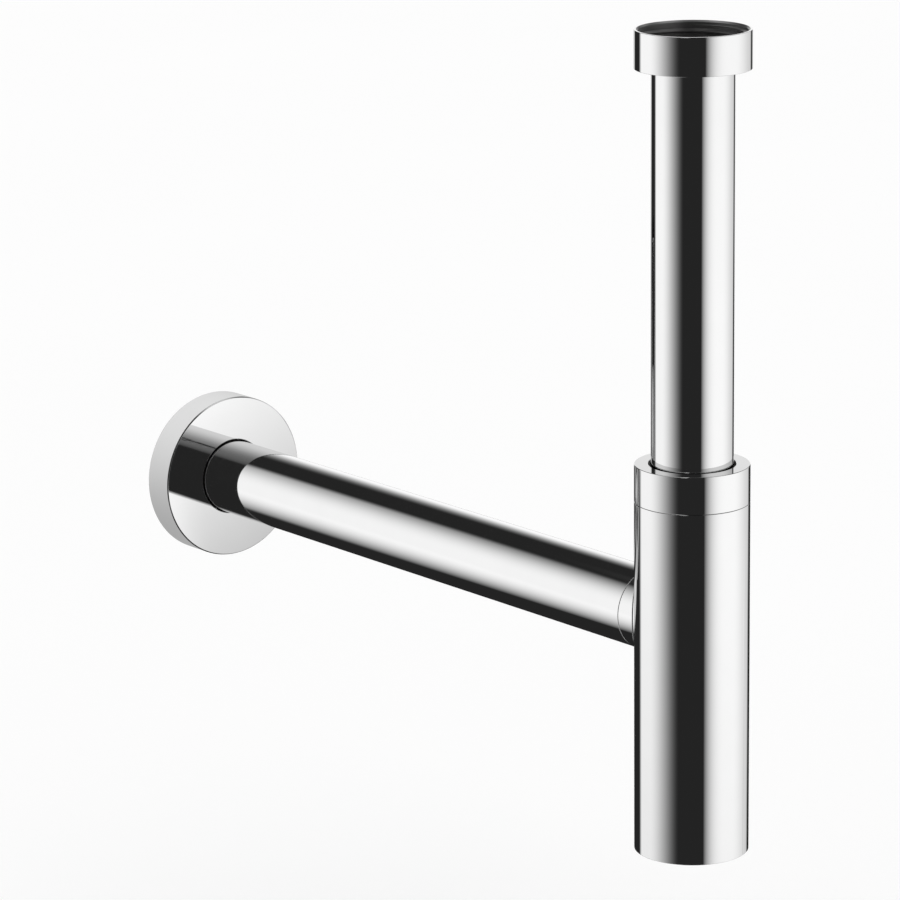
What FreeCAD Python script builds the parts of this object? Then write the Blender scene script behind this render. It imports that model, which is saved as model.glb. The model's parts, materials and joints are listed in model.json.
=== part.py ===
import FreeCAD, Part
import math
import os

# Bottle trap in polished tube for a washbasin. Sizes are in millimetres.
# The origin is on the inlet's axis, at the top of the union washer, where the basin's waste seals.
# +Z runs up the inlet, +Y runs along the outlet towards the wall.

# Tube used for the inlet and the outlet
tube_od = 32.0
tube_wall = 1.0

# Fits and gaps
sliding_play = 0.15
hole_play = 0.3
seal_play = 0.05
face_play = 0.1
thread_play = 0.05
seam_gap = 0.15
edge_chamfer = 0.3
seam_chamfer = 0.15

# Union: nut, slip ring, collar of the inlet tube and washer
nut_height = 15.0
nut_wall = 3.024
nut_lip = 2.5
nut_mouth_chamfer = 1.5
nut_recess_step = 0.22
collar_width = 3.1
collar_play = 0.376
collar_thickness = 1.5
collar_fillet = 0.4
washer_thickness = 2.0
slip_ring_thickness = 1.2
slip_ring_chamfer = 0.5
slip_ring_width = 3.0

# Inlet tube
inlet_show = 154.0
dip_gap = 24.0
tube_end_chamfer = 0.2

# Cap nut, neck and wedge seal
cap_height = 15.0
cap_lip = 2.5
cap_wall = 2.25
cap_seat_play = 0.1
cap_hole_play = 1.0
neck_play = 0.4
neck_height = 9.2
neck_edge = 1.3
neck_chamfer = 0.6
neck_relief_width = 1.6
neck_relief_depth = 1.2
seal_seat_width = 2.5
seal_seat_depth = 5.0
seal_rim_width = 3.0
seal_toe_width = 0.5

# Trap body
body_height = 141.0
body_wall = 2.0
body_base = 3.0
body_base_fillet = 3.0
body_shoulder = 4.0

# Outlet stub with its spigot and two sealing rings
outlet_height = 92.0
stub_show = 3.0
stub_root_depth = 12.0
spigot_length = 20.0
spigot_play = 0.1
spigot_wall = 0.9
spigot_chamfer = 0.6
spigot_ring_section = 1.5
spigot_groove_width = 1.9
spigot_groove_offset = 8.0
spigot_groove_pitch = 6.0

# Wall flange and its grip ring
flange_reach = 303.9
flange_od = 71.0
flange_depth = 14.5
flange_face_thickness = 2.0
flange_rim = 1.6
flange_edge_round = 0.5
flange_inner_fillet = 1.0
flange_hole_play = 0.5
flange_hub_wall = 3.1
flange_hub_length = 9.0
grip_ring_section = 2.0
grip_groove_width = 2.4
grip_groove_play = 0.1
wall_tail = 15.0

# Radii that follow from the tube
tube_r = tube_od / 2
bore_r = tube_r - tube_wall
collar_r = tube_r + collar_width
thread_minor_r = collar_r + collar_play
nut_r = thread_minor_r + nut_wall
neck_bore_r = tube_r + neck_play
seal_seat_r = neck_bore_r + seal_seat_width
neck_r = seal_seat_r + neck_edge
cap_thread_r = neck_r + thread_play
cap_r = cap_thread_r + cap_wall
body_r = cap_r
body_inner_r = body_r - body_wall
spigot_r = bore_r - spigot_play
spigot_floor_r = bore_r - 2 * seal_play - spigot_ring_section
waterway_r = spigot_floor_r - spigot_wall
flange_r = flange_od / 2
flange_hole_r = tube_r + flange_hole_play

# Heights along the inlet, from the top of the washer
collar_top = -washer_thickness
collar_bottom = collar_top - collar_thickness
union_slip_top = collar_bottom - face_play
union_slip_bottom = union_slip_top - slip_ring_thickness
nut_lip_top = union_slip_bottom - face_play
nut_bottom = nut_lip_top - nut_lip
nut_top = nut_bottom + nut_height
cap_top = nut_bottom - inlet_show
cap_lip_bottom = cap_top - cap_lip
seam_height = cap_top - cap_height
neck_top = seam_height + neck_height
body_bottom = seam_height - body_height
base_top = body_bottom + body_base
dip_end = base_top + dip_gap
outlet_axis = body_bottom + outlet_height

# Stations along the outlet, from the inlet's axis
stub_end = body_r + stub_show
stub_root = body_r - stub_root_depth
spigot_end = stub_end + spigot_length
outlet_start = stub_end + seam_gap
flange_back = flange_reach + flange_depth
outlet_end = flange_back + wall_tail

UP = FreeCAD.Vector(0, 0, 1)
ORIGIN = FreeCAD.Vector(0, 0, 0)
FULL_TURN = 360
QUARTER_TURN = 90


def chamfered(radius, height, leg):
    """Corner of a profile cut off by a chamfer."""
    return radius, height, "chamfer", leg


def rounded(radius, height, size):
    """Corner of a profile with an arc of this radius."""
    return radius, height, "round", size


def profile(corners):
    """Closed face in the XZ plane. A corner is a plain (radius, height), or made by chamfered or rounded."""
    count = len(corners)
    points = [FreeCAD.Vector(corner[0], 0, corner[1]) for corner in corners]
    turns = []
    for i, corner in enumerate(corners):
        here = points[i]
        back = (points[i - 1] - here).normalize()
        ahead = (points[(i + 1) % count] - here).normalize()
        middle = None
        reach = 0
        if len(corner) > 2:
            reach = corner[3]
        if reach and corner[2] == "round":
            half_angle = back.getAngle(ahead) / 2
            inwards = (back + ahead).normalize()
            middle = here + inwards * corner[3] * (1 / math.sin(half_angle) - 1)
            reach = corner[3] / math.tan(half_angle)
        turns.append((here + back * reach, middle, here + ahead * reach))
    edges = []
    for i, (start, middle, end) in enumerate(turns):
        if middle is not None:
            edges.append(Part.Arc(start, middle, end).toShape())
        elif start != end:
            edges.append(Part.LineSegment(start, end).toShape())
        edges.append(Part.LineSegment(end, turns[(i + 1) % count][0]).toShape())
    return Part.Face(Part.Wire(edges))


def turned(corners):
    """Solid of revolution about the inlet's axis."""
    return profile(corners).revolve(ORIGIN, UP, FULL_TURN)


def along_outlet(shape):
    """Lays a shape made about +Z, from the inlet's axis outwards, along the outlet."""
    shape.rotate(ORIGIN, FreeCAD.Vector(1, 0, 0), -QUARTER_TURN)
    shape.translate(FreeCAD.Vector(0, 0, outlet_axis))
    return shape


def ring(middle_r, section, station):
    """Round sealing ring about +Z."""
    return Part.makeTorus(middle_r, section / 2, FreeCAD.Vector(0, 0, station), UP)


def slip_ring(top):
    """Flat nylon ring that lets a nut turn on the tube. Its upper inner edge clears a fillet."""
    inner = tube_r + sliding_play
    outer = tube_r + slip_ring_width
    bottom = top - slip_ring_thickness
    return turned([
        (inner, bottom),
        chamfered(outer, bottom, edge_chamfer),
        chamfered(outer, top, edge_chamfer),
        (inner + slip_ring_chamfer, top),
        (inner, top - slip_ring_chamfer),
    ])


def union_nut():
    """Round nut that pulls the inlet tube's collar up against the basin's waste."""
    hole_r = tube_r + hole_play
    recess_r = thread_minor_r - nut_recess_step
    return turned([
        chamfered(hole_r, nut_bottom, edge_chamfer),
        chamfered(nut_r, nut_bottom, edge_chamfer),
        chamfered(nut_r, nut_top, edge_chamfer),
        (thread_minor_r + nut_mouth_chamfer, nut_top),
        (thread_minor_r, nut_top - nut_mouth_chamfer),
        (thread_minor_r, 0),
        (recess_r, 0),
        (recess_r, nut_lip_top),
        (hole_r, nut_lip_top),
    ])


def union_washer():
    """Flat rubber washer on the collar."""
    return turned([
        (bore_r, collar_top),
        chamfered(collar_r, collar_top, edge_chamfer),
        chamfered(collar_r, 0, edge_chamfer),
        chamfered(bore_r, 0, edge_chamfer),
    ])


def inlet_tube():
    """Tube with a flat collar at the top, dipping into the trap's water."""
    return turned([
        chamfered(bore_r, dip_end, tube_end_chamfer),
        chamfered(tube_r, dip_end, tube_end_chamfer),
        rounded(tube_r, collar_bottom, collar_fillet),
        chamfered(collar_r, collar_bottom, edge_chamfer),
        chamfered(collar_r, collar_top, edge_chamfer),
        rounded(bore_r, collar_top, collar_fillet),
    ])


def cap_nut():
    """Round cap that screws on the body's neck and presses the wedge seal."""
    hole_r = tube_r + cap_hole_play
    seat_r = tube_r + slip_ring_width + cap_seat_play
    seat_bottom = cap_lip_bottom - slip_ring_thickness - 2 * face_play
    bottom = seam_height + seam_gap
    return turned([
        chamfered(cap_thread_r, bottom, seam_chamfer),
        chamfered(cap_r, bottom, seam_chamfer),
        chamfered(cap_r, cap_top, edge_chamfer),
        chamfered(hole_r, cap_top, edge_chamfer),
        (hole_r, cap_lip_bottom),
        (seat_r, cap_lip_bottom),
        (seat_r, seat_bottom),
        (cap_thread_r, seat_bottom),
    ])


def inlet_wedge_seal():
    """Rubber wedge between the neck and the inlet tube, with a rim under the slip ring."""
    inner = tube_r + seal_play
    rim_r = tube_r + seal_rim_width
    rim_top = cap_lip_bottom - slip_ring_thickness - 2 * face_play
    rim_bottom = neck_top + face_play
    slope = seal_seat_width / seal_seat_depth
    toe_r = neck_bore_r + seal_toe_width - face_play
    heel_r = seal_seat_r - face_play
    toe = neck_top - (heel_r - toe_r) / slope
    return turned([
        (inner, toe),
        (toe_r, toe),
        (heel_r, neck_top),
        (heel_r, rim_bottom),
        (rim_r, rim_bottom),
        chamfered(rim_r, rim_top, edge_chamfer),
        (inner, rim_top),
    ])


def trap_body():
    """Cup with a threaded neck, a seat for the wedge seal and an opening for the outlet."""
    relief_r = neck_r - neck_relief_depth
    relief_top = seam_height + neck_relief_width
    shoulder = seam_height - body_shoulder
    cup = turned([
        (0, body_bottom),
        chamfered(body_r, body_bottom, edge_chamfer),
        chamfered(body_r, seam_height, seam_chamfer),
        (relief_r, seam_height),
        (relief_r, relief_top),
        (neck_r, relief_top),
        (neck_r, neck_top - neck_chamfer),
        (neck_r - neck_chamfer, neck_top),
        (seal_seat_r, neck_top),
        (neck_bore_r, neck_top - seal_seat_depth),
        (neck_bore_r, shoulder),
        (body_inner_r, shoulder),
        rounded(body_inner_r, base_top, body_base_fillet),
        (0, base_top),
    ])
    return cup.cut(along_outlet(Part.makeCylinder(waterway_r, stub_end)))


def spigot_groove_stations():
    """Middles of the two sealing grooves, along the outlet."""
    first = stub_end + spigot_groove_offset
    return [first, first + spigot_groove_pitch]


def outlet_stub():
    """Short tube saddled on the body, turned down into a spigot with two grooves for the outlet tube."""
    stub = turned([
        (waterway_r, stub_root),
        (tube_r, stub_root),
        chamfered(tube_r, stub_end, seam_chamfer),
        (spigot_r, stub_end),
        (spigot_r, spigot_end - spigot_chamfer),
        (spigot_r - spigot_chamfer, spigot_end),
        (waterway_r, spigot_end),
    ])
    for station in spigot_groove_stations():
        start = FreeCAD.Vector(0, 0, station - spigot_groove_width / 2)
        outside = Part.makeCylinder(tube_r, spigot_groove_width, start, UP)
        floor = Part.makeCylinder(spigot_floor_r, spigot_groove_width, start, UP)
        stub = stub.cut(outside.cut(floor))
    body_skin = Part.makeCylinder(body_r, body_height, FreeCAD.Vector(0, 0, body_bottom), UP)
    return along_outlet(stub).cut(body_skin)


def spigot_ring(station):
    """Sealing ring in a groove of the spigot."""
    return along_outlet(ring(spigot_floor_r + seal_play + spigot_ring_section / 2, spigot_ring_section, station))


def outlet_tube():
    """Plain tube from the stub's seam, through the flange and into the wall."""
    return along_outlet(turned([
        chamfered(bore_r, outlet_start, tube_end_chamfer),
        chamfered(tube_r, outlet_start, seam_chamfer),
        chamfered(tube_r, outlet_end, edge_chamfer),
        chamfered(bore_r, outlet_end, tube_end_chamfer),
    ]))


def grip_station():
    """Middle of the grip ring's groove, along the outlet."""
    return flange_reach + (flange_face_thickness + flange_hub_length) / 2


def wall_flange():
    """Deep round flange, open at the back, with a hub that holds the grip ring."""
    hub_r = flange_hole_r + flange_hub_wall
    hub_end = flange_reach + flange_hub_length
    inside = flange_reach + flange_face_thickness
    groove_r = tube_r + seal_play + grip_ring_section + grip_groove_play
    groove_start = grip_station() - grip_groove_width / 2
    groove_end = groove_start + grip_groove_width
    return along_outlet(turned([
        chamfered(flange_hole_r, flange_reach, edge_chamfer),
        rounded(flange_r, flange_reach, flange_edge_round),
        chamfered(flange_r, flange_back, edge_chamfer),
        (flange_r - flange_rim, flange_back),
        rounded(flange_r - flange_rim, inside, flange_inner_fillet),
        rounded(hub_r, inside, flange_inner_fillet),
        chamfered(hub_r, hub_end, edge_chamfer),
        chamfered(flange_hole_r, hub_end, edge_chamfer),
        (flange_hole_r, groove_end),
        (groove_r, groove_end),
        (groove_r, groove_start),
        (flange_hole_r, groove_start),
    ]))


def flange_grip_ring():
    """Rubber ring that keeps the flange where it is pushed on the outlet tube."""
    return along_outlet(ring(tube_r + seal_play + grip_ring_section / 2, grip_ring_section, grip_station()))


inner_station, outer_station = spigot_groove_stations()
nodes = {
    "union_nut": union_nut(),
    "union_slip_ring": slip_ring(union_slip_top),
    "union_washer": union_washer(),
    "inlet_tube": inlet_tube(),
    "cap_nut": cap_nut(),
    "cap_slip_ring": slip_ring(cap_lip_bottom - face_play),
    "inlet_wedge_seal": inlet_wedge_seal(),
    "trap_body": trap_body(),
    "outlet_stub": outlet_stub(),
    "outlet_ring_inner": spigot_ring(inner_station),
    "outlet_ring_outer": spigot_ring(outer_station),
    "outlet_tube": outlet_tube(),
    "wall_flange": wall_flange(),
    "flange_grip_ring": flange_grip_ring(),
}

os.makedirs("parts", exist_ok=True)
for name, shape in nodes.items():
    shape.exportStep(os.path.join("parts", name + ".step"))
    print(name, "volume %.1f" % shape.Volume, "valid", shape.isValid(), "solids", len(shape.Solids))
print("nut top %.3f, cap top %.3f, seam %.3f" % (nut_top, cap_top, seam_height))
print("bottom %.3f, outlet axis %.3f, dip end %.3f" % (body_bottom, outlet_axis, dip_end))
print("body radius %.3f, waterway radius %.3f, outlet end %.3f" % (body_r, waterway_r, outlet_end))
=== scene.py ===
import json
import math

import bmesh
import bpy
from mathutils import Matrix, Vector


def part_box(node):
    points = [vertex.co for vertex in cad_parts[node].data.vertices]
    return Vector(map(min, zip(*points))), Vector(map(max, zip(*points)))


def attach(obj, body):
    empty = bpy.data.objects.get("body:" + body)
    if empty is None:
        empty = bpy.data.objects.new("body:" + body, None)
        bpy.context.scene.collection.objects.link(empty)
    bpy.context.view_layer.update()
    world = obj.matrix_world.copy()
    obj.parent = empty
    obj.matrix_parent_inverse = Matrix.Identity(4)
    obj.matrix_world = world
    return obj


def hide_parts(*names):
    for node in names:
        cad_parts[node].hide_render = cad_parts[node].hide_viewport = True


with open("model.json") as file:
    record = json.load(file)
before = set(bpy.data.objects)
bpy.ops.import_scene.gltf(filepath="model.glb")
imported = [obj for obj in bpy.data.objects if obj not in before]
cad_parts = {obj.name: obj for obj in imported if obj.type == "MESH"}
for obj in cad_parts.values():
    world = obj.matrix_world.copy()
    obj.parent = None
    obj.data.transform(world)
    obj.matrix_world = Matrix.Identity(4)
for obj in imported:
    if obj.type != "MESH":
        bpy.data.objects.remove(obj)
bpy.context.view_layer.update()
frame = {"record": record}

# Chrome bottle trap: turned pieces about the inlet's axis, and turned pieces about the outlet's axis.
# Sizes are in millimetres and become metres where a mesh is made. Angles are in degrees.
MM = 0.001


def inlet_span(node):
    """Radius, bottom and top of a piece that is round about the inlet."""
    low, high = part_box(node)
    return high.x / MM, low.z / MM, high.z / MM


def outlet_span(node):
    """Radius, start and end of a piece that is round about the outlet."""
    low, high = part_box(node)
    return high.x / MM, low.y / MM, high.y / MM


# What the frame gives
nut_r, nut_bottom, nut_top = inlet_span("union_nut")
union_slip_r, union_slip_bottom, union_slip_top = inlet_span("union_slip_ring")
collar_r, washer_bottom, washer_top = inlet_span("union_washer")
_, dip_end, collar_top = inlet_span("inlet_tube")
cap_r, cap_bottom, cap_top = inlet_span("cap_nut")
cap_slip_r, cap_slip_bottom, cap_slip_top = inlet_span("cap_slip_ring")
seal_rim_r, seal_toe, seal_top = inlet_span("inlet_wedge_seal")
body_r, body_bottom, neck_top = inlet_span("trap_body")
_, _, spigot_end = outlet_span("outlet_stub")
ring_outer_r, inner_ring_start, inner_ring_end = outlet_span("outlet_ring_inner")
_, outer_ring_start, outer_ring_end = outlet_span("outlet_ring_outer")
tube_r, outlet_start, outlet_end = outlet_span("outlet_tube")
flange_r, flange_face, flange_back = outlet_span("wall_flange")
grip_outer_r, grip_start, grip_end = outlet_span("flange_grip_ring")
outlet_low, outlet_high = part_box("outlet_tube")
outlet_axis = (outlet_low.z + outlet_high.z) / 2 / MM

# Walls, fits and seats inside the pieces
tube_wall = 1.0
sliding_play = 0.15
hole_play = 0.3
seal_play = 0.05
face_play = 0.1
cap_seam_gap = 0.1
outlet_seam_gap = 0.16
nut_lip = 2.5
nut_recess_r = 19.256
collar_thickness = 1.5
cap_hole_play = 1.0
cap_lip = 2.5
cap_seat_r = 19.1
neck_bore_r = 16.4
seal_seat_r = 18.9
seal_seat_depth = 5.0
seal_slope = 0.5
neck_relief_width = 1.6
body_wall = 2.0
body_base = 3.0
body_shoulder = 4.0
waterway_r = 12.5
waterway_margin = 2.0
stub_root_depth = 12.0
spigot_r = 14.9
spigot_floor_r = 13.4
spigot_groove_width = 1.9
flange_face_thickness = 2.0
flange_rim = 1.6
flange_hole_play = 0.5
flange_hub_wall = 3.1
flange_hub_length = 9.0
grip_groove_width = 2.4
grip_groove_r = 18.15

# Edges
crisp = 0.12
fine = 0.2
edge = 0.3
soft = 0.45
seam_round = 0.18
ring_roundness = 0.98
joint_height = 0.8
joint_width = 0.5
joint_depth = 0.35
lead_in = 0.7
flange_chamfer = 0.45
fillet = 1.0
base_fillet = 3.0

# Threads: the basin waste's pipe thread, also used between cap nut and body
thread_pitch = 2.309
thread_depth = 1.479
nut_thread_root_r = 20.955
neck_thread_root_r = 19.05
cap_thread_root_r = 20.3
neck_thread_depth = 1.13
cap_thread_depth = 1.13
thread_base_width = 1.95
thread_crest_width = 0.3
thread_run_out_turns = 0.4
thread_thin_end = 0.02
union_thread_start = 0.9
neck_thread_above_relief = 0.6
union_thread_turns = 2.2
neck_thread_turns = 2.6
cap_thread_turns = 3.5

bore_r = tube_r - tube_wall
seam_height = cap_bottom - cap_seam_gap

# Mesh fineness
AROUND = 256
ARC_STEP = 12.0
FLAT_LEAD = 0.05
LEADS_IN_A_RUN = 3
SHARP_ANGLE = 28.0

ABOUT_INLET = Matrix.Identity(4)
ABOUT_OUTLET = Matrix.Translation((0, 0, outlet_axis)) @ Matrix.Rotation(math.radians(-90), 4, "X")


class Wire:
    """One output of a node. Python's operators on it add Math nodes to its tree."""

    def __init__(self, graph, socket):
        self.graph = graph
        self.socket = socket

    def maths(self, operation, *values):
        return self.graph.add("ShaderNodeMath", {"operation": operation}, values).out("Value")

    def __add__(self, other):
        return self.maths("ADD", self, other)

    __radd__ = __add__

    def __sub__(self, other):
        return self.maths("SUBTRACT", self, other)

    def __rsub__(self, other):
        return self.maths("SUBTRACT", other, self)

    def __mul__(self, other):
        return self.maths("MULTIPLY", self, other)

    __rmul__ = __mul__

    def __truediv__(self, other):
        return self.maths("DIVIDE", self, other)

    def __rtruediv__(self, other):
        return self.maths("DIVIDE", other, self)

    def __abs__(self):
        return self.maths("ABSOLUTE", self)

    def sin(self):
        return self.maths("SINE", self)

    def cos(self):
        return self.maths("COSINE", self)

    def at_most(self, other):
        return self.maths("MINIMUM", self, other)

    def angle_from(self, other):
        """Angle in degrees of the point that lies this far across and other far ahead."""
        return self.maths("ARCTAN2", self, other) * math.degrees(1)

    def between(self, low, high):
        """low where this is 0 and high where it is 1."""
        return self * (high - low) + low

    def filled(self, low, high, speed):
        """0 at low and before it, rising fast and then ever slower to 1 at high. low may be the larger."""
        values = {"Value": self, "From Min": low, "From Max": high, "To Min": 1.0, "To Max": 0.0}
        left = self.graph.add("ShaderNodeMapRange", {}, values).out("Result")
        return 1 - left.maths("POWER", left, speed)

    def eased(self, low, high):
        """0 at low and before it, 1 at high and past it, smooth between. low may be the larger."""
        smooth = {"interpolation_type": "SMOOTHSTEP"}
        values = {"Value": self, "From Min": low, "From Max": high}
        return self.graph.add("ShaderNodeMapRange", smooth, values).out("Result")


class Placed:
    """A node that has been added, with its outputs as wires."""

    def __init__(self, graph, node):
        self.graph = graph
        self.node = node

    def out(self, name):
        return Wire(self.graph, self.node.outputs[name])


class Graph:
    """A node tree of any kind, to which nodes are added with their settings first and their values after."""

    def __init__(self, tree):
        self.tree = tree

    def add(self, kind, settings=None, values=()):
        node = self.tree.nodes.new(kind)
        for name, value in (settings or {}).items():
            setattr(node, name, value)
        pairs = values.items() if isinstance(values, dict) else enumerate(values)
        for name, value in pairs:
            if isinstance(value, Wire):
                self.tree.links.new(value.socket, node.inputs[name])
            else:
                node.inputs[name].default_value = value
        return Placed(self, node)


def new_material(name, colour):
    """An empty node material, its graph, and the object coordinates that its patterns lie on."""
    material = bpy.data.materials.new(name)
    material.use_nodes = True
    material.diffuse_color = colour
    material.node_tree.nodes.clear()
    graph = Graph(material.node_tree)
    place = graph.add("ShaderNodeTexCoord").out("Object")
    return material, graph, place


def noise(graph, place, scale, detail=2.0, stretch=(1, 1, 1)):
    """Cloudy pattern from 0 to 1, with scale blotches to the metre.

    Along each axis, a stretch over 1 packs the blotches and one under 1 draws them out into lines.
    """
    spot = graph.add("ShaderNodeMapping", {}, {"Vector": place, "Scale": stretch}).out("Vector")
    return graph.add("ShaderNodeTexNoise", {}, {"Vector": spot, "Scale": scale, "Detail": detail}).out("Fac")


# Places of a Mix node's factor, its two colours and its result among its sockets
MIX_FACTOR, MIX_FIRST, MIX_SECOND, MIX_RESULT = 0, 6, 7, 2


def blend(graph, mask, first, second):
    """Colour that goes from first to second where mask goes from 0 to 1."""
    values = {MIX_FACTOR: mask, MIX_FIRST: first, MIX_SECOND: second}
    return graph.add("ShaderNodeMix", {"data_type": "RGBA"}, values).out(MIX_RESULT)


def grey(level):
    return (level, level, level, 1.0)


def greys(graph, mask, darkest, lightest):
    """Grey that goes from darkest to lightest where mask goes from 0 to 1."""
    return blend(graph, mask, grey(darkest), grey(lightest))


def surface(graph, **values):
    """Principled shader with these sockets, on the material's output."""
    named = {name.replace("_", " "): value for name, value in values.items()}
    shader = graph.add("ShaderNodeBsdfPrincipled", {}, named).out("BSDF")
    graph.add("ShaderNodeOutputMaterial", {}, {"Surface": shader})


def bump(graph, height, strength, depth):
    """Normal of a surface that rises by depth millimetres where height is 1."""
    values = {"Height": height, "Strength": strength, "Distance": depth * MM}
    return graph.add("ShaderNodeBump", {}, values).out("Normal")


def polished_chrome():
    """Mirror plate. A slow wave and a faint haze from the polishing wheel break it up a little."""
    material, graph, place = new_material("polished_chrome", grey(0.9))
    haze = noise(graph, place, scale=90.0, detail=3.0)
    wave = noise(graph, place, scale=28.0, detail=1.0)
    colour = greys(graph, haze, darkest=0.93, lightest=0.96)
    surface(graph, Base_Color=colour, Metallic=1.0, Roughness=haze.between(0.015, 0.045),
            Normal=bump(graph, wave, strength=0.12, depth=0.02))
    return material


def machined_metal(name, stretch, shade):
    """Plated but unpolished metal with fine tool marks: threads, seats and the spigot. A low shade, as the
    threads get, is partly painted shade.
    """
    material, graph, place = new_material(name, grey(shade))
    marks = noise(graph, place, scale=60.0, detail=2.0, stretch=stretch)
    cloud = noise(graph, place, scale=150.0, detail=3.0)
    colour = greys(graph, cloud, darkest=shade * 0.85, lightest=shade * 1.15)
    surface(graph, Base_Color=colour, Metallic=1.0, Roughness=marks.between(0.24, 0.38),
            Normal=bump(graph, marks, strength=0.3, depth=0.02))
    return material


def drawn_bore(name, stretch):
    """Inside of the drawn tube: dull, darkened metal with faint lines along the tube."""
    material, graph, place = new_material(name, grey(0.2))
    lines = noise(graph, place, scale=700.0, detail=2.0, stretch=stretch)
    stain = noise(graph, place, scale=45.0, detail=4.0)
    colour = greys(graph, stain, darkest=0.13, lightest=0.26)
    surface(graph, Base_Color=colour, Metallic=0.85, Roughness=stain.between(0.36, 0.54),
            Normal=bump(graph, lines, strength=0.3, depth=0.03))
    return material


def cast_inside():
    """Back of the wall flange: plated over a satin, unpolished surface."""
    material, graph, place = new_material("satin_plate", grey(0.55))
    grain = noise(graph, place, scale=900.0, detail=3.0)
    cloud = noise(graph, place, scale=60.0, detail=3.0)
    colour = greys(graph, cloud, darkest=0.5, lightest=0.64)
    surface(graph, Base_Color=colour, Metallic=1.0, Roughness=cloud.between(0.27, 0.39),
            Normal=bump(graph, grain, strength=0.4, depth=0.03))
    return material


def black_rubber():
    """Matt moulded rubber of the washer and the seals."""
    material, graph, place = new_material("black_rubber", grey(0.03))
    grain = noise(graph, place, scale=2400.0, detail=3.0)
    bloom = noise(graph, place, scale=120.0, detail=3.0)
    colour = greys(graph, bloom, darkest=0.018, lightest=0.036)
    surface(graph, Base_Color=colour, Roughness=bloom.between(0.5, 0.7),
            Normal=bump(graph, grain, strength=0.5, depth=0.04))
    return material


def black_nylon():
    """Smooth moulded nylon of the slip rings."""
    material, graph, place = new_material("black_nylon", grey(0.03))
    flow = noise(graph, place, scale=200.0, detail=2.0)
    colour = greys(graph, flow, darkest=0.02, lightest=0.035)
    surface(graph, Base_Color=colour, Roughness=flow.between(0.3, 0.42),
            Normal=bump(graph, flow, strength=0.3, depth=0.03))
    return material


CHROME = polished_chrome()
# Thread finish: duller plate than the chrome, and darker still as painted shade in the union nut's mouth and
# on its rim
THREAD_PAINTED_SHADE = machined_metal("machined_thread_painted_shade", stretch=(1, 1, 30), shade=0.44)
SPIGOT = machined_metal("machined_spigot", stretch=(1, 30, 1), shade=0.52)
DIP_BORE = drawn_bore("dip_bore", stretch=(1, 1, 0.03))
OUTLET_BORE = drawn_bore("outlet_bore", stretch=(1, 0.03, 1))
SATIN = cast_inside()
RUBBER = black_rubber()
NYLON = black_nylon()


def rounded_corner(before, here, after, radius):
    """Points of the arc that rounds one corner of a section, or the corner itself where it is sharp."""
    back = (before - here).normalized()
    ahead = (after - here).normalized()
    if not radius:
        return [here], back, ahead, 0.0
    half = back.angle(ahead) / 2
    reach = radius / math.tan(half)
    middle = here + (back + ahead).normalized() * (radius / math.sin(half))
    start = here + back * reach - middle
    end = here + ahead * reach - middle
    turn = start.angle_signed(end)
    steps = max(2, math.ceil(abs(math.degrees(turn)) / ARC_STEP))
    arc = [middle + Matrix.Rotation(-turn * i / steps, 2) @ start for i in range(steps + 1)]
    return arc, back, ahead, reach


def section_points(walls):
    """Points of a section, each with the finish of the wall that follows it.

    walls are (finish, corners) in order, and a corner is (radius, station, rounding). Every straight
    run gets a point close to each of its ends, so that the shading stays flat between them.
    """
    corners = [(Vector(corner[:2]), corner[2], finish) for finish, group in walls for corner in group]
    count = len(corners)
    points = []
    for i, (here, radius, finish) in enumerate(corners):
        before, _, finish_before = corners[i - 1]
        after = corners[(i + 1) % count][0]
        if here.x == 0:
            points.append((here, finish))
            continue
        arc, back, ahead, reach = rounded_corner(before, here, after, radius)
        room = min((before - here).length, (after - here).length) - reach
        lead = min(FLAT_LEAD, room / LEADS_IN_A_RUN)
        points.append((arc[0] + back * lead, finish_before))
        points += [(point, finish_before) for point in arc[:-1]]
        points.append((arc[-1], finish))
        points.append((arc[-1] + ahead * lead, finish))
    return points


def ring_vertices(point, place, shift):
    """Vertices of the ring that one point of a section draws, or a single vertex on the axis."""
    vertices = []
    for i in range(AROUND if point.x else 1):
        angle = 2 * math.pi * i / AROUND
        vertex = Vector((point.x * math.cos(angle), point.x * math.sin(angle), point.y))
        if shift:
            vertex.z = shift(vertex)
        vertices.append(place @ vertex * MM)
    return vertices


def band_faces(ring, following):
    """Faces between two rings, each given by its vertex numbers. A ring of one vertex gives triangles."""
    faces = []
    for i in range(AROUND):
        j = (i + 1) % AROUND
        corners = [ring[i % len(ring)], ring[j % len(ring)]]
        corners += [following[j % len(following)], following[i % len(following)]]
        faces.append(list(dict.fromkeys(corners)))
    return faces


def turned(name, walls, place=ABOUT_INLET, shift=None):
    """Solid of revolution from its section. shift may move a vertex along the axis before it is placed."""
    points = section_points(walls)
    finishes = list(dict.fromkeys(finish for _, finish in points))
    closed = all(point.x for point, _ in points)
    vertices = []
    rings = []
    for point, _ in points:
        ring = ring_vertices(point, place, shift)
        rings.append([len(vertices) + i for i in range(len(ring))])
        vertices += ring
    faces = []
    slots = []
    for k in range(len(rings) if closed else len(rings) - 1):
        band = band_faces(rings[k], rings[(k + 1) % len(rings)])
        faces += band
        slots += [finishes.index(points[k][1])] * len(band)
    mesh = bpy.data.meshes.new(name)
    mesh.from_pydata(vertices, [], faces)
    for finish in finishes:
        mesh.materials.append(finish)
    mesh.polygons.foreach_set("material_index", slots)
    return finished(name, mesh)


def finished(name, mesh):
    """Object for a mesh, with its faces outwards, smooth over its curves and sharp at its corners."""
    shell = bmesh.new()
    shell.from_mesh(mesh)
    bmesh.ops.recalc_face_normals(shell, faces=shell.faces)
    shell.to_mesh(mesh)
    shell.free()
    mesh.shade_smooth()
    mesh.set_sharp_from_angle(angle=math.radians(SHARP_ANGLE))
    piece = bpy.data.objects.new(name, mesh)
    bpy.context.scene.collection.objects.link(piece)
    return piece


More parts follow.
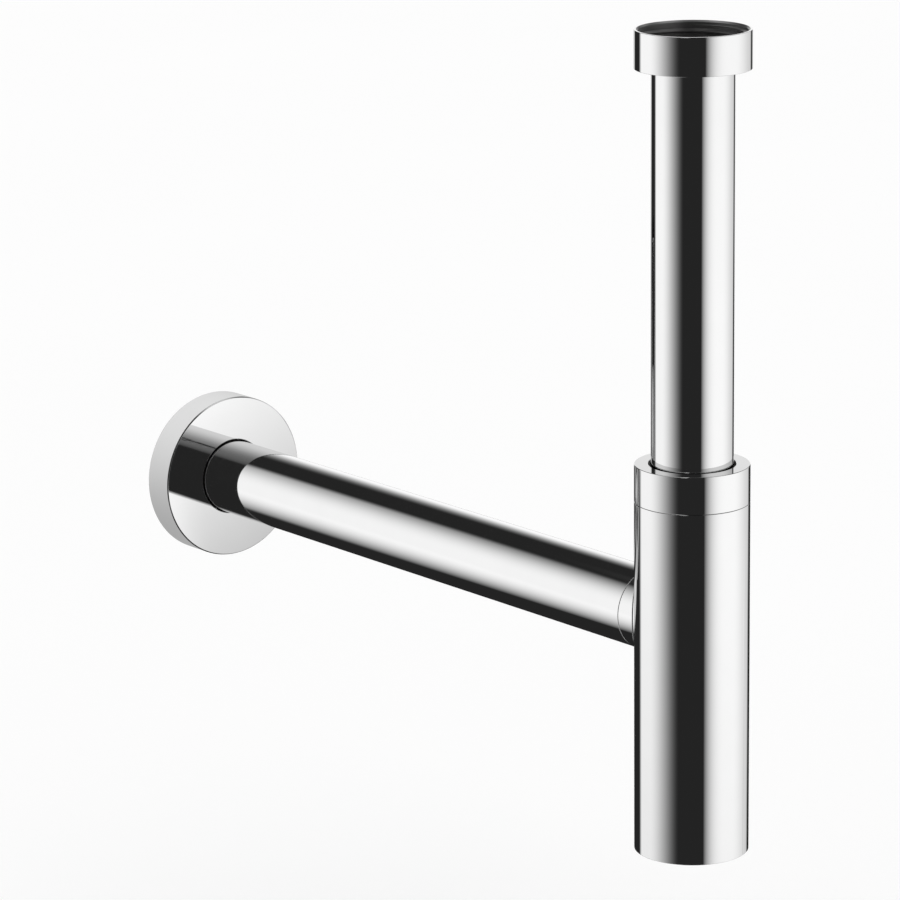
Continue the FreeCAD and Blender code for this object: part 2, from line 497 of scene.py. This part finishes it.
def plain_mesh(piece):
    """Mesh of a piece with its modifiers applied."""
    bpy.context.view_layer.update()
    evaluated = piece.evaluated_get(bpy.context.evaluated_depsgraph_get())
    return bpy.data.meshes.new_from_object(evaluated)


BODY_OF = {node: body for body, nodes in frame["record"]["behaviour"]["bodies"].items() for node in nodes}


def stands_for(piece, node):
    """The piece takes the place of a solid, on its body and with its finish."""
    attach(piece, BODY_OF[node])
    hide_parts(node)


def slip_ring(name, radius, bottom, top):
    inner = tube_r + sliding_play
    return turned(name, [(NYLON, [
        (inner, bottom, crisp), (radius, bottom, edge), (radius, top, edge), (inner, top, soft),
    ])])


def o_ring(name, outer_r, start, end):
    """Round rubber ring about the outlet."""
    section_r = (end - start) / 2
    middle_r = outer_r - section_r
    corners = [(middle_r - section_r, start), (outer_r, start), (outer_r, end), (middle_r - section_r, end)]
    rounding = section_r * ring_roundness
    return turned(name, [(RUBBER, [(r, s, rounding) for r, s in corners])], ABOUT_OUTLET)


def union_nut():
    hole_r = tube_r + hole_play
    lip_top = nut_bottom + nut_lip
    return turned("union_nut_turned", [
        (CHROME, [(hole_r, nut_bottom, edge), (nut_r, nut_bottom, crisp), (nut_r, nut_top, fine)]),
        # The lead-in chamfer at the mouth takes the dark thread finish: painted shade on the nut's rim
        (THREAD_PAINTED_SHADE, [
            (nut_thread_root_r + lead_in, nut_top, crisp), (nut_thread_root_r, nut_top - lead_in, 0),
            (nut_thread_root_r, 0, 0), (nut_recess_r, 0, 0), (nut_recess_r, lip_top, 0),
            (hole_r, lip_top, crisp),
        ]),
    ])


def union_washer():
    return turned("union_washer_moulded", [(RUBBER, [
        (bore_r, washer_bottom, crisp), (collar_r, washer_bottom, edge),
        (collar_r, washer_top, edge), (bore_r, washer_top, edge),
    ])])


def inlet_tube():
    collar_bottom = collar_top - collar_thickness
    return turned("inlet_tube_turned", [
        (CHROME, [
            (bore_r, dip_end, crisp), (tube_r, dip_end, crisp), (tube_r, collar_bottom, soft),
            (collar_r, collar_bottom, edge), (collar_r, collar_top, edge),
        ]),
        (DIP_BORE, [(bore_r, collar_top, soft)]),
    ])


def cap_nut():
    hole_r = tube_r + cap_hole_play
    lip_bottom = cap_top - cap_lip
    return turned("cap_nut_turned", [
        (CHROME, [
            (cap_thread_root_r, cap_bottom, crisp), (cap_r, cap_bottom, seam_round), (cap_r, cap_top, edge),
            (hole_r, cap_top, edge), (hole_r, lip_bottom, 0),
        ]),
        (THREAD_PAINTED_SHADE, [
            (cap_seat_r, lip_bottom, 0), (cap_seat_r, seal_top, 0), (cap_thread_root_r, seal_top, crisp),
        ]),
    ])


def wedge_seal():
    inner = tube_r + seal_play
    heel_r = seal_seat_r - face_play
    toe_r = heel_r - (neck_top - seal_toe) * seal_slope
    rim_bottom = neck_top + face_play
    return turned("inlet_wedge_seal_moulded", [(RUBBER, [
        (inner, seal_toe, 0), (toe_r, seal_toe, 0), (heel_r, neck_top, 0), (heel_r, rim_bottom, 0),
        (seal_rim_r, rim_bottom, 0), (seal_rim_r, seal_top, edge), (inner, seal_top, crisp),
    ])])


def trap_body():
    inner_r = body_r - body_wall
    floor = body_bottom + body_base
    shoulder = seam_height - body_shoulder
    window = waterway_r + waterway_margin
    low, high = outlet_axis - window, outlet_axis + window
    cup = turned("trap_body_turned", [
        (CHROME, [(0, body_bottom, 0), (body_r, body_bottom, crisp), (body_r, low, 0), (body_r, high, 0),
                  (body_r, seam_height, seam_round)]),
        (THREAD_PAINTED_SHADE, [
            (neck_thread_root_r, seam_height, 0), (neck_thread_root_r, neck_top, crisp),
            (seal_seat_r, neck_top, 0), (neck_bore_r, neck_top - seal_seat_depth, 0),
            (neck_bore_r, shoulder, 0),
        ]),
        (DIP_BORE, [
            (inner_r, shoulder, 0), (inner_r, high, 0), (inner_r, low, 0), (inner_r, floor, base_fillet),
            (0, floor, 0),
        ]),
    ])
    return with_waterway(cup)


def with_waterway(cup):
    """Cuts the outlet's waterway through the body's wall."""
    cutter = turned("waterway_cutter", [(DIP_BORE, [
        (0, body_r - stub_root_depth, 0), (waterway_r, body_r - stub_root_depth, 0),
        (waterway_r, body_r + body_wall, 0), (0, body_r + body_wall, 0),
    ])], ABOUT_OUTLET)
    cut = cup.modifiers.new("waterway", "BOOLEAN")
    cut.operation = "DIFFERENCE"
    cut.solver = "EXACT"
    cut.object = cutter
    mesh = plain_mesh(cup)
    name = cup.name
    bpy.data.objects.remove(cutter)
    bpy.data.objects.remove(cup)
    return finished(name, mesh)


def outlet_stub():
    """Short tube saddled on the body, and the spigot with its two grooves."""
    root = body_r - stub_root_depth
    joint = root + joint_height
    seated = joint + joint_width + crisp + 2 * FLAT_LEAD
    joint_r = tube_r - joint_depth
    stub_end = outlet_start - outlet_seam_gap

    def saddle(vertex):
        if vertex.z > seated:
            return vertex.z
        return vertex.z - root + math.sqrt(body_r**2 - vertex.x**2)

    grooves = []
    for start, end in ((outer_ring_start, outer_ring_end), (inner_ring_start, inner_ring_end)):
        middle = (start + end) / 2
        near, far = middle - spigot_groove_width / 2, middle + spigot_groove_width / 2
        grooves = [(spigot_r, near, 0), (spigot_floor_r, near, 0), (spigot_floor_r, far, 0),
                   (spigot_r, far, 0)] + grooves
    return turned("outlet_stub_turned", [
        (CHROME, [
            (waterway_r, root, 0), (tube_r, root, 0), (tube_r, joint, crisp), (joint_r, joint, 0),
            (joint_r, joint + joint_width, 0), (tube_r, joint + joint_width, crisp),
            (tube_r, stub_end, seam_round),
        ]),
        (SPIGOT, [(spigot_r, stub_end, 0)] + grooves + [(spigot_r, spigot_end, soft)]),
        (OUTLET_BORE, [(waterway_r, spigot_end, crisp)]),
    ], ABOUT_OUTLET, saddle)


def outlet_tube():
    return turned("outlet_tube_turned", [
        (CHROME, [
            (bore_r, outlet_start, crisp), (tube_r, outlet_start, seam_round), (tube_r, outlet_end, edge),
        ]),
        (OUTLET_BORE, [(bore_r, outlet_end, crisp)]),
    ], ABOUT_OUTLET)


def wall_flange():
    hole_r = tube_r + flange_hole_play
    hub_r = hole_r + flange_hub_wall
    hub_end = flange_face + flange_hub_length
    inside = flange_face + flange_face_thickness
    groove = (grip_start + grip_end) / 2
    near, far = groove - grip_groove_width / 2, groove + grip_groove_width / 2
    return turned("wall_flange_turned", [
        (CHROME, [
            (hole_r, flange_face, edge), (flange_r - flange_chamfer, flange_face, crisp),
            (flange_r, flange_face + flange_chamfer, crisp), (flange_r, flange_back, edge),
        ]),
        (SATIN, [
            (flange_r - flange_rim, flange_back, crisp), (flange_r - flange_rim, inside, fillet),
            (hub_r, inside, fillet), (hub_r, hub_end, edge), (hole_r, hub_end, edge), (hole_r, far, 0),
            (grip_groove_r, far, 0), (grip_groove_r, near, 0), (hole_r, near, 0),
        ]),
    ], ABOUT_OUTLET)


THREAD_STEPS_PER_TURN = 120
THREAD_SIZES = ("Wall Radius", "Depth", "Pitch", "Turns", "Start", "Base Width", "Crest Width", "Root Embed")


def helix_curve(graph, steps, along, wall, pitch, turns, start):
    """Curve that winds up the wall. along runs from 0 at its first point to 1 at its last."""
    line = graph.add("GeometryNodeCurvePrimitiveLine").out("Curve")
    line = graph.add("GeometryNodeResampleCurve", {}, {"Curve": line, "Count": steps}).out("Curve")
    angle = along * turns * (2 * math.pi)
    spot = {"X": wall * angle.cos(), "Y": wall * angle.sin(), "Z": start + along * turns * pitch}
    spot = graph.add("ShaderNodeCombineXYZ", {}, spot).out("Vector")
    helix = graph.add("GeometryNodeSetPosition", {}, {"Geometry": line, "Position": spot}).out("Geometry")
    return graph.add("GeometryNodeSetCurveNormal", {"mode": "Z_UP"}, {"Curve": helix}).out("Curve")


def ridge_section(graph, depth, base, crest, embed):
    """Section of the ridge, with its foot a little inside the wall."""

    def corner(across, width):
        return graph.add("ShaderNodeCombineXYZ", {}, {"X": across, "Y": width}).out("Vector")

    return graph.add("GeometryNodeCurvePrimitiveQuadrilateral", {"mode": "POINTS"}, {
        "Point 1": corner(embed, base * 0.5), "Point 2": corner(depth, crest * 0.5),
        "Point 3": corner(depth, crest * -0.5), "Point 4": corner(embed, base * -0.5),
    }).out("Curve")


def thread_tree():
    """Geometry nodes that wind one screw thread: a ridge of even section with a run-out at both ends."""
    tree = bpy.data.node_groups.new("wound_thread", "GeometryNodeTree")
    tree.interface.new_socket("Geometry", in_out="OUTPUT", socket_type="NodeSocketGeometry")
    for size in THREAD_SIZES:
        tree.interface.new_socket(size, in_out="INPUT", socket_type="NodeSocketFloat")
    tree.interface.new_socket("Steps", in_out="INPUT", socket_type="NodeSocketInt")
    tree.interface.new_socket("Finish", in_out="INPUT", socket_type="NodeSocketMaterial")
    graph = Graph(tree)
    given = graph.add("NodeGroupInput")
    wall, depth, pitch, turns, start, base, crest, embed = (given.out(size) for size in THREAD_SIZES)
    along = graph.add("GeometryNodeSplineParameter").out("Factor")
    helix = helix_curve(graph, given.out("Steps"), along, wall, pitch, turns, start)
    section = ridge_section(graph, depth, base, crest, embed)
    run_out = (along * turns).eased(0, thread_run_out_turns)
    run_out = run_out * ((1 - along) * turns).eased(0, thread_run_out_turns)
    ridge = graph.add("GeometryNodeCurveToMesh", {}, {
        "Curve": helix, "Profile Curve": section, "Scale": run_out.between(thread_thin_end, 1.0),
        "Fill Caps": True,
    }).out("Mesh")
    ridge = graph.add("GeometryNodeRealizeInstances", {}, {"Geometry": ridge}).out("Geometry")
    ridge = graph.add("GeometryNodeSetMaterial", {}, {"Geometry": ridge, "Material": given.out("Finish")})
    graph.add("NodeGroupOutput", {}, {"Geometry": ridge.out("Geometry")})
    return tree


THREAD_TREE = thread_tree()


def wound_thread(name, body, wall_r, depth, start, turns):
    """Thread ridge on a wall, outwards where depth is positive and inwards where it is negative."""
    carrier = bpy.data.objects.new(name + "_carrier", bpy.data.meshes.new(name + "_carrier"))
    bpy.context.scene.collection.objects.link(carrier)
    winding = carrier.modifiers.new("winding", "NODES")
    winding.node_group = THREAD_TREE
    embed = -math.copysign(2 * FLAT_LEAD, depth)
    values = {
        "Wall Radius": wall_r * MM, "Depth": depth * MM, "Pitch": thread_pitch * MM, "Turns": turns,
        "Start": start * MM, "Base Width": thread_base_width * MM, "Crest Width": thread_crest_width * MM,
        "Root Embed": embed * MM, "Steps": round(turns * THREAD_STEPS_PER_TURN), "Finish": THREAD_PAINTED_SHADE,
    }
    for item in THREAD_TREE.interface.items_tree:
        if item.name in values:
            winding[item.identifier] = values[item.name]
    mesh = plain_mesh(carrier)
    bpy.data.objects.remove(carrier)
    ridge = finished(name, mesh)
    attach(ridge, body)


def build_pieces():
    stands_for(union_nut(), "union_nut")
    stands_for(slip_ring("union_slip_ring_moulded", union_slip_r, union_slip_bottom, union_slip_top),
               "union_slip_ring")
    stands_for(union_washer(), "union_washer")
    stands_for(inlet_tube(), "inlet_tube")
    stands_for(cap_nut(), "cap_nut")
    stands_for(slip_ring("cap_slip_ring_moulded", cap_slip_r, cap_slip_bottom, cap_slip_top),
               "cap_slip_ring")
    stands_for(wedge_seal(), "inlet_wedge_seal")
    stands_for(trap_body(), "trap_body")
    stands_for(outlet_stub(), "outlet_stub")
    stands_for(o_ring("outlet_ring_inner_moulded", ring_outer_r, inner_ring_start, inner_ring_end),
               "outlet_ring_inner")
    stands_for(o_ring("outlet_ring_outer_moulded", ring_outer_r, outer_ring_start, outer_ring_end),
               "outlet_ring_outer")
    stands_for(outlet_tube(), "outlet_tube")
    stands_for(wall_flange(), "wall_flange")
    stands_for(o_ring("flange_grip_ring_moulded", grip_outer_r, grip_start, grip_end),
               "flange_grip_ring")


def build_threads():
    neck_thread_start = seam_height + neck_relief_width + neck_thread_above_relief
    wound_thread("union_nut_thread", BODY_OF["union_nut"], nut_thread_root_r, -thread_depth,
                 union_thread_start, union_thread_turns)
    wound_thread("neck_thread", BODY_OF["trap_body"], neck_thread_root_r, neck_thread_depth,
                 neck_thread_start, neck_thread_turns)
    wound_thread("cap_nut_thread", BODY_OF["cap_nut"], cap_thread_root_r, -cap_thread_depth,
                 neck_thread_start - thread_pitch / 2, cap_thread_turns)


# Camera
CAMERA_AZIMUTH = -38.473
CAMERA_ELEVATION = 14.076
CAMERA_ROLL = -0.645
CAMERA_LENS = 177.89
CAMERA_SENSOR = 36.0
CAMERA_REACH = (50.0, 60000.0)
CAMERA_DISTANCE = 1830.18
CAMERA_AIM = (-3.68, 145.54, -183.07)


def studio_axes():
    """Right and back of the photograph's view, level with the floor."""
    turn = math.radians(CAMERA_AZIMUTH)
    return Vector((math.cos(turn), math.sin(turn), 0)), Vector((math.sin(turn), -math.cos(turn), 0))


def place_camera():
    right, level_back = studio_axes()
    tilt = math.radians(CAMERA_ELEVATION)
    back = level_back * math.cos(tilt) + Vector((0, 0, math.sin(tilt)))
    up = back.cross(right)
    axes = Matrix((right, up, back)).transposed() @ Matrix.Rotation(math.radians(CAMERA_ROLL), 3, "Z")
    data = bpy.data.cameras.new("camera")
    data.lens = CAMERA_LENS
    data.sensor_width = CAMERA_SENSOR
    data.clip_start, data.clip_end = (distance * MM for distance in CAMERA_REACH)
    camera = bpy.data.objects.new("camera", data)
    place = (Vector(CAMERA_AIM) + back * CAMERA_DISTANCE) * MM
    camera.matrix_world = Matrix.Translation(place) @ axes.to_4x4()
    bpy.context.scene.collection.objects.link(camera)
    bpy.context.scene.camera = camera


# Studio as polished metal sees it. Azimuths run round the object from the camera, positive to the
# camera's right, and heights are above the horizon, both in degrees. A pair runs from dark to light, or
# from no loss to the full loss. A speed says how fast a box gets light at its edge.
DARK_LEVEL = 0.018
LEFT_BOX_RAMP = (-28, -98)
LEFT_BOX_END = (-133, -122)
RIGHT_BOX_RAMP = (20.5, 73)
RIGHT_BOX_END = (150, 140)
RIGHT_BOX_FADE = (85, 145)
RIGHT_BOX_LOSS = 0.35
RIGHT_BOX_SPEED = 3.0
BOX_TOP = (42, 5)
BOX_TOP_SPEED = 2.6
LEFT_BOX_BOTTOM = (-39, -5)
RIGHT_BOX_BOTTOM = (-34, -14)
BOX_BOTTOM_SPEED = 2.2
BOX_MIDDLE = (-13, -5)
BOX_MIDDLE_LOSS = 0.05
WALL_BEHIND = (157, 163)
WALL_BEHIND_TOP = (35, 5)
WALL_BEHIND_BOTTOM = (-17, -3)
STRIP_LEFT = (-33, -28)
STRIP_RIGHT = (-12, -17)
STRIP_BOTTOM = (28, 36)
STRIP_TOP = (72, 64)
ZENITH = (74, 86)
ZENITH_LEVEL = 0.2
CEILING = (42, 60)
CEILING_LEVEL = 0.6
FLOOR = (-20, -42)
FLOOR_LEVEL = 0.55
# How far a direction of length 1 goes sideways or to the wall where the light from above and below sets in
SIDEWAYS = (0.18, 0.4)
FLOOR_TO_WALL = (0.7, 0.55)
KEPT_AT_EACH_MIRROR = 0.7
ROOM_LIGHT = 0.8
SUN_LIGHT = 0.74
SUN_SIZE = 50.0
SUN_TILT = (25, -20, 0)
FLOOR_DROP = 150.0
FLOOR_HALF = 20000.0
FLOOR_GREYS = (0.975, 0.985)


def after_mirrors(ray):
    """Share of the light that is left when a piece is seen by way of another polished piece."""
    mirrors = ray.out("Glossy Depth")
    return mirrors.maths("POWER", KEPT_AT_EACH_MIRROR, mirrors - 1).at_most(1.0)


def studio_level(azimuth, height, sideways, to_wall):
    """Light from a direction, from 0 in a dark flag to 1 in a box."""
    left_box = azimuth.eased(*LEFT_BOX_RAMP) * azimuth.eased(*LEFT_BOX_END)
    left_box = left_box * height.filled(*LEFT_BOX_BOTTOM, BOX_BOTTOM_SPEED)
    right_box = azimuth.filled(*RIGHT_BOX_RAMP, RIGHT_BOX_SPEED) * azimuth.eased(*RIGHT_BOX_END)
    right_box = right_box * (1 - azimuth.eased(*RIGHT_BOX_FADE) * RIGHT_BOX_LOSS)
    right_box = right_box * height.filled(*RIGHT_BOX_BOTTOM, BOX_BOTTOM_SPEED)
    boxes = (left_box + right_box) * height.filled(*BOX_TOP, BOX_TOP_SPEED)
    boxes = boxes * (1 - height.eased(*BOX_MIDDLE) * BOX_MIDDLE_LOSS)
    wall = abs(azimuth).eased(*WALL_BEHIND)
    wall = wall * height.eased(*WALL_BEHIND_TOP) * height.eased(*WALL_BEHIND_BOTTOM)
    strip = azimuth.eased(*STRIP_LEFT) * azimuth.eased(*STRIP_RIGHT)
    strip = strip * height.eased(*STRIP_BOTTOM) * height.eased(*STRIP_TOP)
    ceiling = height.eased(*CEILING) * CEILING_LEVEL
    floor = height.eased(*FLOOR) * abs(to_wall).eased(*FLOOR_TO_WALL) * FLOOR_LEVEL
    above_and_below = (ceiling + floor) * abs(sideways).eased(*SIDEWAYS)
    above_and_below = above_and_below + height.eased(*ZENITH) * ZENITH_LEVEL
    return (boxes + wall + strip + above_and_below).at_most(1.0)


def studio_world():
    """White room for the camera. Polished metal sees softboxes, dark flags between them and a white wall."""
    world = bpy.data.worlds.new("studio")
    world.use_nodes = True
    world.node_tree.nodes.clear()
    graph = Graph(world.node_tree)
    direction = graph.add("ShaderNodeTexCoord").out("Generated")
    parts = graph.add("ShaderNodeSeparateXYZ", {}, {"Vector": direction})
    x, y, z = (parts.out(axis) for axis in "XYZ")
    right, back = studio_axes()
    sideways = x * right.x + y * right.y
    azimuth = sideways.angle_from(x * back.x + y * back.y)
    height = z.maths("ARCSINE", z) * math.degrees(1)

    ray = graph.add("ShaderNodeLightPath")
    level = studio_level(azimuth, height, sideways, y) * after_mirrors(ray)
    in_metal = greys(graph, level, DARK_LEVEL, 1.0)
    straight = ray.out("Is Camera Ray") + ray.out("Is Transmission Ray")
    colour = greys(graph, straight, ROOM_LIGHT, 1.0)
    colour = blend(graph, ray.out("Is Glossy Ray"), colour, in_metal)
    light = graph.add("ShaderNodeBackground", {}, {"Color": colour, "Strength": 1.0}).out("Background")
    graph.add("ShaderNodeOutputWorld", {}, {"Surface": light})
    bpy.context.scene.world = world


def soft_sun():
    """Wide soft light from above, for the shadow on the floor and the black parts."""
    data = bpy.data.lights.new("soft_sun", "SUN")
    data.energy = SUN_LIGHT
    data.angle = math.radians(SUN_SIZE)
    sun = bpy.data.objects.new("soft_sun", data)
    sun.rotation_euler = [math.radians(angle) for angle in SUN_TILT]
    sun.visible_glossy = False
    bpy.context.scene.collection.objects.link(sun)


def pale_floor():
    """Plain floor, well under the hanging trap."""
    height = body_bottom - FLOOR_DROP
    half = FLOOR_HALF
    corners = ((-half, -half), (half, -half), (half, half), (-half, half))
    mesh = bpy.data.meshes.new("floor")
    mesh.from_pydata([(x * MM, y * MM, height * MM) for x, y in corners], [], [(0, 1, 2, 3)])
    darker, lighter = FLOOR_GREYS
    material, graph, place = new_material("pale_floor", grey(darker))
    colour = greys(graph, noise(graph, place, scale=3.0), darker, lighter)
    surface(graph, Base_Color=colour, Roughness=0.9, Specular_IOR_Level=0.0)
    mesh.materials.append(material)
    floor = bpy.data.objects.new("floor", mesh)
    floor.visible_glossy = False
    bpy.context.scene.collection.objects.link(floor)


def lit_card(card, level_at, mask_at=None):
    """Card that only polished metal sees. Its level and its see-through edge come from its own points."""
    material, graph, place = new_material(card.name, grey(0.8))
    parts = graph.add("ShaderNodeSeparateXYZ", {}, {"Vector": place})
    x, z = parts.out("X") / MM, parts.out("Z") / MM
    level = level_at(x, z) * after_mirrors(graph.add("ShaderNodeLightPath"))
    colour = greys(graph, level, 0.0, 1.0)
    glow = graph.add("ShaderNodeEmission", {}, {"Color": colour, "Strength": 1.0}).out("Emission")
    if mask_at:
        clear = graph.add("ShaderNodeBsdfTransparent").out("BSDF")
        glow = graph.add("ShaderNodeMixShader", {}, {0: mask_at(x, z), 1: clear, 2: glow}).out("Shader")
    graph.add("ShaderNodeOutputMaterial", {}, {"Surface": glow})
    card.data.materials.clear()
    card.data.materials.append(material)
    card.visible_camera = False
    card.visible_diffuse = False
    card.visible_shadow = False


def side_card():
    """Grey card at the right, edge on to the body, whose falling light is seen in the flange's face."""
    place_y, left, right, low, high = -40.0, 190.0, 355.0, -420.0, -250.0
    middle_x, middle_z = (left + right) / 2, (low + high) / 2
    middle_level, fall_across, rise_upwards = 0.74, 0.0019, 0.004
    feather = 40.0
    corners = ((left, low), (right, low), (right, high), (left, high))
    mesh = bpy.data.meshes.new("side_card")
    mesh.from_pydata([(x * MM, place_y * MM, z * MM) for x, z in corners], [], [(0, 1, 2, 3)])
    card = bpy.data.objects.new("side_card", mesh)
    bpy.context.scene.collection.objects.link(card)

    def level(x, z):
        return middle_level - (x - middle_x) * fall_across + (z - middle_z) * rise_upwards

    def mask(x, z):
        across = x.eased(left, left + feather) * x.eased(right, right - feather)
        return across * z.eased(low, low + feather) * z.eased(high, high - feather)

    lit_card(card, level, mask)


def wall_card():
    """White sleeve behind the outlet's end. Only its inside is lit, and the flange's polished rim sees it."""
    inner_r, outer_r, length, behind = 81.0, 82.0, 55.0, 31.0
    half_height, low_level, high_level = 115.0, 0.39, 0.79
    corners = [(inner_r, 0, 0), (outer_r, 0, 0), (outer_r, length, 0), (inner_r, length, 0)]
    card = turned("wall_card", [(CHROME, corners)],
                  ABOUT_OUTLET @ Matrix.Translation((0, 0, outlet_end + behind)))
    middle_r = (inner_r + outer_r) / 2
    half_edge = (outer_r - inner_r) / 4

    def level(x, z):
        up = z - outlet_axis
        inside = (x * x + up * up).eased((middle_r + half_edge)**2, (middle_r - half_edge)**2)
        return up.eased(-half_height, half_height).between(low_level, high_level) * inside

    lit_card(card, level)


build_pieces()
build_threads()
place_camera()
studio_world()
soft_sun()
pale_floor()
side_card()
wall_card()
bpy.context.scene.view_settings.view_transform = "Standard"
